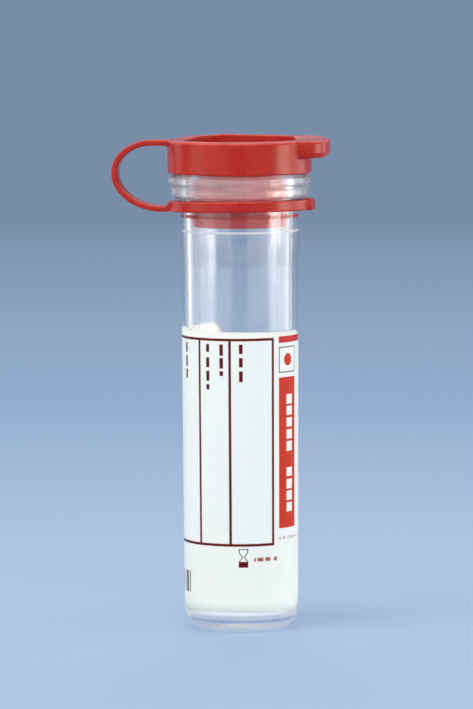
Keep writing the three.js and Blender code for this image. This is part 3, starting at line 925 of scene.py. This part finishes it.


def polypropylene(context, name, clearness, rough_low, rough_high):
    """Natural polypropylene: clear with a slight haze, glossy, faintly scuffed.

    Lamps reach what is behind it through a Transparent shader on shadow rays.
    """
    material, tree, place = new_material(name)
    scales = {"Vector": place, "Mottle Size": 3.0, "Grain Size": 0.25, "Scuffs": 0.35}
    grain = tree.group(moulded_grain, scales)
    shader = tree.add(
        "ShaderNodeBsdfPrincipled",
        {
            "Base Color": opaque(context.scene.tube_sizes.tint),
            "Roughness": tree.spread(grain["Gloss"], -0.3, 0.5, rough_low, rough_high),
            "IOR": 1.49,
            "Transmission Weight": clearness,
            "Normal": tree.bump(grain["Height"], 0.12, 0.02),
        },
    )
    clear = tree.add("ShaderNodeBsdfTransparent", {"Color": opaque(SHADOW_TINT)})
    shadow = tree.add("ShaderNodeLightPath")["Is Shadow Ray"]
    mixed = tree.add("ShaderNodeMixShader", {0: shadow, 1: shader, 2: clear})
    tree.add("ShaderNodeOutputMaterial", {"Surface": mixed})
    return material


def polyethylene(context):
    """Soft red polyethylene: satin, softly mottled, with a moulded grain, and a painted highlight
    of paler red on outward edges that face up.

    It is made once, for the cap, the strap and the ring.
    """
    name = "satin_polyethylene"
    if name in bpy.data.materials:
        return bpy.data.materials[name]
    red = context.scene.closure_sizes.red
    material, tree, place = new_material(name)
    scales = {"Vector": place, "Mottle Size": 2.2, "Grain Size": 0.2, "Scuffs": 0.6}
    grain = tree.group(moulded_grain, scales)
    tone = tree.spread(grain["Mottle"], -0.25, 0.25)
    base = tree.mix(tone, opaque(red, 0.9), opaque(red, 1.12))
    # Painted highlight: the red is made paler on outward edges that face up, varied by the grain.
    edge = tree.add("ShaderNodeAttribute", attribute_name="edge")["Fac"]
    painted_edge_highlight = edge * tree.spread(grain["Gloss"], -0.2, 0.2, 0.2, 0.75)
    shader = tree.add(
        "ShaderNodeBsdfPrincipled",
        {
            "Base Color": tree.mix(painted_edge_highlight, base, opaque(EDGE_HIGHLIGHT_RED)),
            "Roughness": tree.spread(grain["Gloss"], -0.3, 0.6, 0.22, 0.4),
            "Specular IOR Level": 0.34,
            "Specular Tint": (1.0, 0.95, 0.82, 1.0),
            "Subsurface Weight": 0.12,
            "Subsurface Radius": (0.8 * MM, 0.25 * MM, 0.15 * MM),
            "Subsurface Scale": 1.0,
            "Normal": tree.bump(grain["Height"], 0.5, 0.03),
        },
    )
    tree.add("ShaderNodeOutputMaterial", {"Surface": shader})
    return material


# The print, in millimetres: across from the label's right edge, and up from the tube's base.
# Boxes are left, right, bottom and top. Dashes are the length of a cell of their row, the share
# of it that the shortest fills, and the row's random seed or the first row's.
FIELD_LINES = (4.64, 8.82, 12.0, 16.45, 21.5)  # upright lines between the writing fields
FIELD_ENDS = (8.29, 27.46)
LINE_WIDTH = 0.25
BAND = (1.43, 3.93, 9.7, 23.83)
BAND_WORDS = ((2.0, 2.9, 16.7, 22.2), (2.0, 2.9, 10.95, 15.35))  # pale dashes on the band
BAND_DASHES = (1.1, 0.74, 29.0)
SIGN = (1.43, 3.93, 24.25, 26.68)  # a dot in a frame
SIGN_LINE = 0.1
DOT_EDGE = (0.55, 0.61)  # the dot is full up to the first radius, and gone from the second
SHORT_BAR = (0.3, 3.95, 27.05, 27.66)
CAPTIONS = ((7.6, 23.5), (9.45, 24.1), (10.85, 22.8), (13.9, 23.6), (18.3, 22.9))  # left, bottom
CAPTION_WIDTH = 0.35
CAPTION_TOP = 27.05
CAPTION_DASHES = (1.25, 0.6, 3.0)
FAINT_ROW = ((4.2, 6.6, 6.75, 7.1), (0.74, 0.35, 41.0))
GREY_ROW = ((0.9, 4.0, 8.65, 8.9), (0.55, 0.35, 57.0))
LONGEST_DASH = 0.86  # the share of its cell that the longest dash fills
HOURGLASS = (7.15, 8.08, 6.2, 7.95)
GLASS_WAIST = 0.1  # how far its waist is above the middle
GLASS_HALF = (0.08, 0.4)  # half its width at the waist, and at most
GLASS_SLOPE = 0.75
GLASS_EDGE = (0.02, 0.08)  # its line is full up to the first distance, and gone from the second
GLASS_INSET = 0.05  # of the sand and the lid
SAND = 0.55  # heights of the sand and of the lid
LID = 0.08
STAMP = ((13.75, 13.95), (14.2, 14.65), (14.95, 15.15), (15.6, 15.8), (16.05, 16.5), (16.8, 17.0))
STAMP_ENDS = (3.55, 5.55)


def print_layers(tree, across, up):
    """The label's inks in order, each as its property's name and its mask."""

    def box(left, right, bottom, top):
        sides = {"Left": left, "Right": right, "Bottom": bottom, "Top": top}
        return tree.group(printed_box, {"Across": across, "Up": up, **sides})

    def row(sides, dash, number=0, down=True):
        """A row of dashes that fills a box, down it or across it."""
        inputs = dict(zip(("Cell", "Shortest", "Seed"), dash))
        inputs["Seed"] += number
        inputs["Along"] = sides[3] - up if down else across - sides[0]
        return tree.group(dashes, {**inputs, "Mask": box(*sides)})

    half = LINE_WIDTH / 2
    first, last = FIELD_LINES[0] - half, FIELD_LINES[-1] + half
    lines = [box(x - half, x + half, *FIELD_ENDS) for x in FIELD_LINES]
    lines += [box(first, last, z - half, z + half) for z in FIELD_ENDS]
    for number, (left, bottom) in enumerate(CAPTIONS):
        sides = (left, left + CAPTION_WIDTH, bottom, CAPTION_TOP)
        lines.append(row(sides, CAPTION_DASHES, 7 * number))

    # The hourglass widens evenly from its waist, with a lid and some sand at the bottom.
    left, right, low, high = HOURGLASS
    from_waist = abs(up - ((low + high) / 2 + GLASS_WAIST))
    width = tree.math("MINIMUM", from_waist * GLASS_SLOPE + GLASS_HALF[0], GLASS_HALF[1])
    side = abs(abs(across - (left + right) / 2) - width)
    lines.append(tree.spread(side, *GLASS_EDGE, 1.0, 0.0) * box(*HOURGLASS))
    for bottom, top in ((low, low + SAND), (high - LID, high)):
        lines.append(box(left + GLASS_INSET, right - GLASS_INSET, bottom, top))

    left, right, low, high = SIGN
    inside = box(left + SIGN_LINE, right - SIGN_LINE, low + SIGN_LINE, high - SIGN_LINE)
    lines.append(box(*SIGN) * (1.0 - inside))
    x, y = across - (left + right) / 2, up - (low + high) / 2
    dot = tree.spread(tree.math("SQRT", x * x + y * y), *DOT_EDGE, 1.0, 0.0)
    words = [row(sides, BAND_DASHES, number) for number, sides in enumerate(BAND_WORDS)]
    return [
        ("band", tree.largest(box(*BAND), dot)),
        ("paper", tree.largest(*words)),
        ("bar", box(*SHORT_BAR)),
        ("line", tree.largest(*lines)),
        ("faint", row(*FAINT_ROW, down=False)),
        ("grey", row(*GREY_ROW, down=False)),
        ("black", tree.largest(*(box(*bar, *STAMP_ENDS) for bar in STAMP))),
    ]


def coated_paper(context):
    """The label's coated paper, faintly fibrous, and its print with a slight wobble and specks."""
    label = context.scene.label_sizes
    material, tree, place = new_material("printed_paper")
    parts = tree.add("ShaderNodeSeparateXYZ", {0: tree.add("ShaderNodeUVMap", uv_map="print")})
    wobble = (tree.noise(place, 3.0 / MM, 1.0) - 0.5) * 0.03
    fibre = tree.noise(place, 0.7 / MM, 4.0)
    tone = tree.spread(fibre, 0.3, 0.7)
    cover = tree.spread(tree.noise(place, 9.0 / MM, 1.0), 0.25, 0.4, 0.93, 1.0)
    shade = tree.mix(tone, opaque(label.paper, 0.98), opaque(label.paper))
    shares = []
    for name, mask in print_layers(tree, parts["X"] + wobble, parts["Y"] + wobble):
        shares.append(mask * cover)
        shade = tree.mix(shares[-1], shade, opaque(getattr(label, name)))
    gloss = tree.largest(*shares) * 0.08
    shader = tree.add(
        "ShaderNodeBsdfPrincipled",
        {
            "Base Color": shade,
            "Roughness": tree.spread(tone, 0, 1, 0.4, 0.48) - gloss,
            "Specular IOR Level": 0.12,
            "Subsurface Weight": 0.15,
            "Subsurface Radius": (0.08 * MM, 0.08 * MM, 0.08 * MM),
            "Subsurface Scale": 1.0,
            "Normal": tree.bump(fibre, 0.25, 0.01),
        },
    )
    tree.add("ShaderNodeOutputMaterial", {"Surface": shader})
    return material


# ---- Operators ----


def finish_piece(piece, node, body, slot, *materials):
    """Gives a piece its materials and body, and hides the frame node that it stands for; slot is
    not used.
    """
    for material in materials:
        piece.data.materials.append(material)
    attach(piece, body)
    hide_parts(node)


class SAMPLETUBE_OT_tube(bpy.types.Operator):
    """Make the moulded tube"""

    bl_idname = "sample_tube.tube"
    bl_label = "Make Tube"

    def execute(self, context):
        piece = tube_piece(context)
        plastics = [polypropylene(context, *plastic) for plastic in PLASTICS]
        finish_piece(piece, "tube", "tube_body", "clear_polypropylene", *plastics)
        mark_thick_parts(context, piece)
        return {"FINISHED"}


class SAMPLETUBE_OT_label(bpy.types.Operator):
    """Make the printed label"""

    bl_idname = "sample_tube.label"
    bl_label = "Make Label"

    def execute(self, context):
        piece, paper = label_piece(context), coated_paper(context)
        finish_piece(piece, "label", "tube_body", "label_paper", paper)
        return {"FINISHED"}


class SAMPLETUBE_OT_cap(bpy.types.Operator):
    """Make the push cap with its thumb tab"""

    bl_idname = "sample_tube.cap"
    bl_label = "Make Cap"

    def execute(self, context):
        piece, red = cap_piece(context), polyethylene(context)
        finish_piece(piece, "cap", "cap_body", "red_polyethylene", red)
        return {"FINISHED"}


class SAMPLETUBE_OT_ring(bpy.types.Operator):
    """Make the ring round the neck"""

    bl_idname = "sample_tube.ring"
    bl_label = "Make Ring"

    def execute(self, context):
        piece, red = ring_piece(context), polyethylene(context)
        finish_piece(piece, "neck_ring", "ring_body", "red_polyethylene", red)
        return {"FINISHED"}


class SAMPLETUBE_OT_strap(bpy.types.Operator):
    """Make the strap, which bends between the ring and the cap"""

    bl_idname = "sample_tube.strap"
    bl_label = "Make Strap"

    def execute(self, context):
        piece = strap_piece(context)
        piece.data.materials.append(polyethylene(context))
        closure = sizes(context, "closure_sizes")
        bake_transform(piece)
        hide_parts("strap")
        return {"FINISHED"}


# ---- Stage ----

# Distances on the stage are in metres.
LAMP_DISTANCE = 0.24  # the upright panels stand this far from the tube's axis
LAMP_POWER = 4.0  # watts for each square metre and unit of radiance
LAMP_COLOUR = (1.0, 0.94, 0.88)
# Upright panels: name, first and last azimuth in degrees to the right of the camera's, lower and
# upper edge above the floor, and radiance. The cap reflects what stands higher than 16 mm there,
# and the tube what stands lower.
PANELS = (
    ("left_fill", -48.0, -18.0, 0.0, 0.12, 0.8),
    ("left_softbox", -86.0, -50.0, 0.017, 0.12, 1.5),
    ("left_low_softbox", -86.0, -50.0, 0.0, 0.016, 0.75),
    ("left_back_softbox", -140.0, -106.0, 0.0, 0.12, 0.8),
    ("right_fill", 14.0, 60.0, 0.0, 0.12, 0.5),
    ("right_strip", 62.0, 86.0, 0.017, 0.06, 7.2),
    ("right_low_strip", 62.0, 86.0, 0.0, 0.016, 2.6),
    ("right_softbox", 90.0, 125.0, 0.0, 0.12, 2.1),
)
# Softboxes that hang free: name, azimuth, distance along the floor, height, width, height of the
# panel, and radiance. They face the middle of the tube.
HANGING = (
    ("overhead_softbox", 10.0, 0.06, 0.6, 0.28, 0.24, 3.5),
    ("front_softbox", 0.0, 0.7, 0.25, 0.7, 0.32, 1.5),
    ("left_high_softbox", -60.0, 0.45, 0.45, 0.4, 0.4, 1.65),
    ("back_high_softbox", 180.0, 0.5, 0.45, 0.4, 0.4, 1.7),
)
AIM = (0.0, 0.0, 0.02)
WORLD_COLOUR = (1.0, 0.96, 0.91)
WORLD_STRENGTH = 0.42


def polar(azimuth, settings):
    """The direction on the floor at that azimuth from the camera's."""
    turn = settings.turn + math.radians(azimuth)
    return np.array([math.sin(turn), -math.cos(turn), 0.0])


def point_at(thing, place, aim, roll=0.0):
    """Links a camera or lamp to the scene at a place, looking at the aim point."""
    look = Vector(aim) - Vector(place)
    thing.location = place
    thing.rotation_mode = "QUATERNION"
    thing.rotation_quaternion = look.to_track_quat("-Z", "Y") @ Quaternion((0, 0, 1), roll)
    bpy.context.scene.collection.objects.link(thing)


def make_camera(scene, settings):
    """The camera: on a level circle round the aim point, lifted, and rolled about its own line."""
    front = polar(0.0, settings)
    lift = settings.lift
    back = front * math.cos(lift) + np.array([0, 0, math.sin(lift)])
    right = np.array([-front[1], front[0], 0.0])
    aim = np.array([0, 0, settings.aim_height]) - right * settings.aim_side
    data = bpy.data.cameras.new("camera")
    data.lens = settings.lens
    data.sensor_width = 36.0
    camera = bpy.data.objects.new("camera", data)
    point_at(camera, aim + back * settings.distance, aim, settings.roll)
    scene.camera = camera


def make_panel(name, place, aim, size, radiance):
    """One softbox at a place, facing the aim point, its size across and down."""
    data = bpy.data.lights.new(name, "AREA")
    data.shape = "RECTANGLE"
    data.size, data.size_y = size
    data.energy = radiance * LAMP_POWER * size[0] * size[1]
    data.color = LAMP_COLOUR
    lamp = bpy.data.objects.new(name, data)
    lamp.visible_camera = False
    point_at(lamp, place, aim)


def make_lamps(settings):
    """The upright panels, each as wide as its azimuths ask, and the hanging softboxes."""
    for name, first, last, low, high, radiance in PANELS:
        level = np.array([0, 0, (low + high) / 2])
        width = 2 * LAMP_DISTANCE * math.tan(math.radians(last - first) / 2)
        place = polar((first + last) / 2, settings) * LAMP_DISTANCE + level
        make_panel(name, place, level, (width, high - low), radiance)
    for name, azimuth, distance, height, width, depth, radiance in HANGING:
        place = polar(azimuth, settings) * distance + np.array([0, 0, height])
        make_panel(name, place, AIM, (width, depth), radiance)


FLOOR_RISE = 0.00001  # the floor touches the base without a film of air
FLOOR_HALF = 6.0
FADE_END = 0.6  # the floor has its far colour from this distance on
HORIZON = 0.53  # the share of its colour that is left there, and above the horizon
UNDER_LIGHT = (0.8, 0.88, 0.94)  # painted glow: the colour the floor near the tube shows through the base and sheds on it, in place of its shadow
UNDER_REACH = (6 * MM, 20 * MM)  # full up to the first distance, and gone from the second
SHADOW_REACH = (0.06, 0.2)  # shadows are full up to the first, and gone from the second
SHADOW_EVEN = 0.3  # the share of even colour that lightens them where they are full


def seen(tree):
    """1 on rays that show the surroundings: the camera's, and those mirrored or let through."""
    path = tree.add("ShaderNodeLightPath")
    return tree.largest(path["Is Camera Ray"], path["Is Transmission Ray"], path["Is Glossy Ray"])


def make_floor(scene, settings):
    """A wide plain floor, which keeps the shadow near the tube and fades evenly to the horizon."""
    mesh = bpy.data.meshes.new("floor")
    signs = ((-1, -1), (1, -1), (1, 1), (-1, 1))
    corners = [(x * FLOOR_HALF, y * FLOOR_HALF, FLOOR_RISE) for x, y in signs]
    mesh.from_pydata(corners, [], [(0, 1, 2, 3)])
    floor = bpy.data.objects.new("floor", mesh)
    scene.collection.objects.link(floor)
    material, tree, place = new_material("studio_floor")
    pale = settings.floor
    tone = tree.spread(tree.noise(place, 6.0, 3.0), 0.3, 0.7)
    shade = tree.mix(tone, opaque(pale, 0.985), opaque(pale))
    lit = tree.add("ShaderNodeBsdfPrincipled", {"Base Color": shade, "Roughness": 0.8})
    away = tree.add("ShaderNodeVectorMath", {0: place}, operation="LENGTH")["Value"]
    faded = tree.mix(tree.spread(away, 0.0, FADE_END), opaque(pale), opaque(pale, HORIZON))
    path = tree.add("ShaderNodeLightPath")
    # Painted light: close round the tube the floor glows for rays through the base and for diffuse
    # light, which fills its shadow there.
    inner = tree.largest(path["Is Transmission Ray"], path["Is Diffuse Ray"])
    under = inner * tree.spread(away, *UNDER_REACH, 1.0, 0.0)
    glow = tree.mix(under, faded, opaque(UNDER_LIGHT))
    even = tree.add("ShaderNodeEmission", {"Color": glow})
    far = tree.spread(away, *SHADOW_REACH, SHADOW_EVEN, 1.0)
    share = tree.largest(seen(tree) * far, under)
    mixed = tree.add("ShaderNodeMixShader", {0: share, 1: lit, 2: even})
    tree.add("ShaderNodeOutputMaterial", {"Surface": mixed})
    mesh.materials.append(material)


def make_world(scene, settings):
    """Even pale light from all round. Rays that show the surroundings see the floor's colour."""
    scene.world = bpy.data.worlds.new("studio")
    tree = empty_tree(scene.world)
    colours = ((WORLD_COLOUR, WORLD_STRENGTH), (settings.floor, HORIZON))
    light, shown = (
        tree.add("ShaderNodeBackground", {"Color": opaque(colour), "Strength": strength})
        for colour, strength in colours
    )
    mixed = tree.add("ShaderNodeMixShader", {0: seen(tree), 1: light, 2: shown})
    tree.add("ShaderNodeOutputWorld", {"Surface": mixed})


class SAMPLETUBE_OT_stage(bpy.types.Operator):
    """Make the floor, the lamps and the camera"""

    bl_idname = "sample_tube.stage"
    bl_label = "Make Stage"

    def execute(self, context):
        scene, settings = context.scene, context.scene.stage_settings
        make_floor(scene, settings)
        make_world(scene, settings)
        make_lamps(settings)
        make_camera(scene, settings)
        scene.view_settings.view_transform = "Standard"
        return {"FINISHED"}


OPERATORS = (
    SAMPLETUBE_OT_tube,
    SAMPLETUBE_OT_label,
    SAMPLETUBE_OT_cap,
    SAMPLETUBE_OT_ring,
    SAMPLETUBE_OT_strap,
    SAMPLETUBE_OT_stage,
)


class SAMPLETUBE_PT_panel(bpy.types.Panel):
    """Sizes, colours and buttons of the sample tube"""

    bl_idname = "SAMPLETUBE_PT_panel"
    bl_label = "Sample Tube"
    bl_space_type = "VIEW_3D"
    bl_region_type = "UI"
    bl_category = "Sample Tube"

    def draw(self, context):
        for name, kind in GROUPS.items():
            box = self.layout.box()
            box.label(text=kind.__doc__)
            for field in kind.__annotations__:
                box.prop(getattr(context.scene, name), field)
        for operator in OPERATORS:
            self.layout.operator(operator.bl_idname)


def register():
    """Registers the classes and puts the property groups on the scene."""
    for kind in (*GROUPS.values(), *OPERATORS, SAMPLETUBE_PT_panel):
        bpy.utils.register_class(kind)
    for name, kind in GROUPS.items():
        setattr(bpy.types.Scene, name, PointerProperty(type=kind))


def unregister():
    """Takes everything that register added away again."""
    for name in GROUPS:
        delattr(bpy.types.Scene, name)
    for kind in (SAMPLETUBE_PT_panel, *reversed(OPERATORS), *reversed(list(GROUPS.values()))):
        bpy.utils.unregister_class(kind)


def main():
    """Makes everything in order."""
    register()
    for operator in OPERATORS:
        group, name = operator.bl_idname.split(".")
        getattr(getattr(bpy.ops, group), name)()


if __name__ == "__main__":
    main()
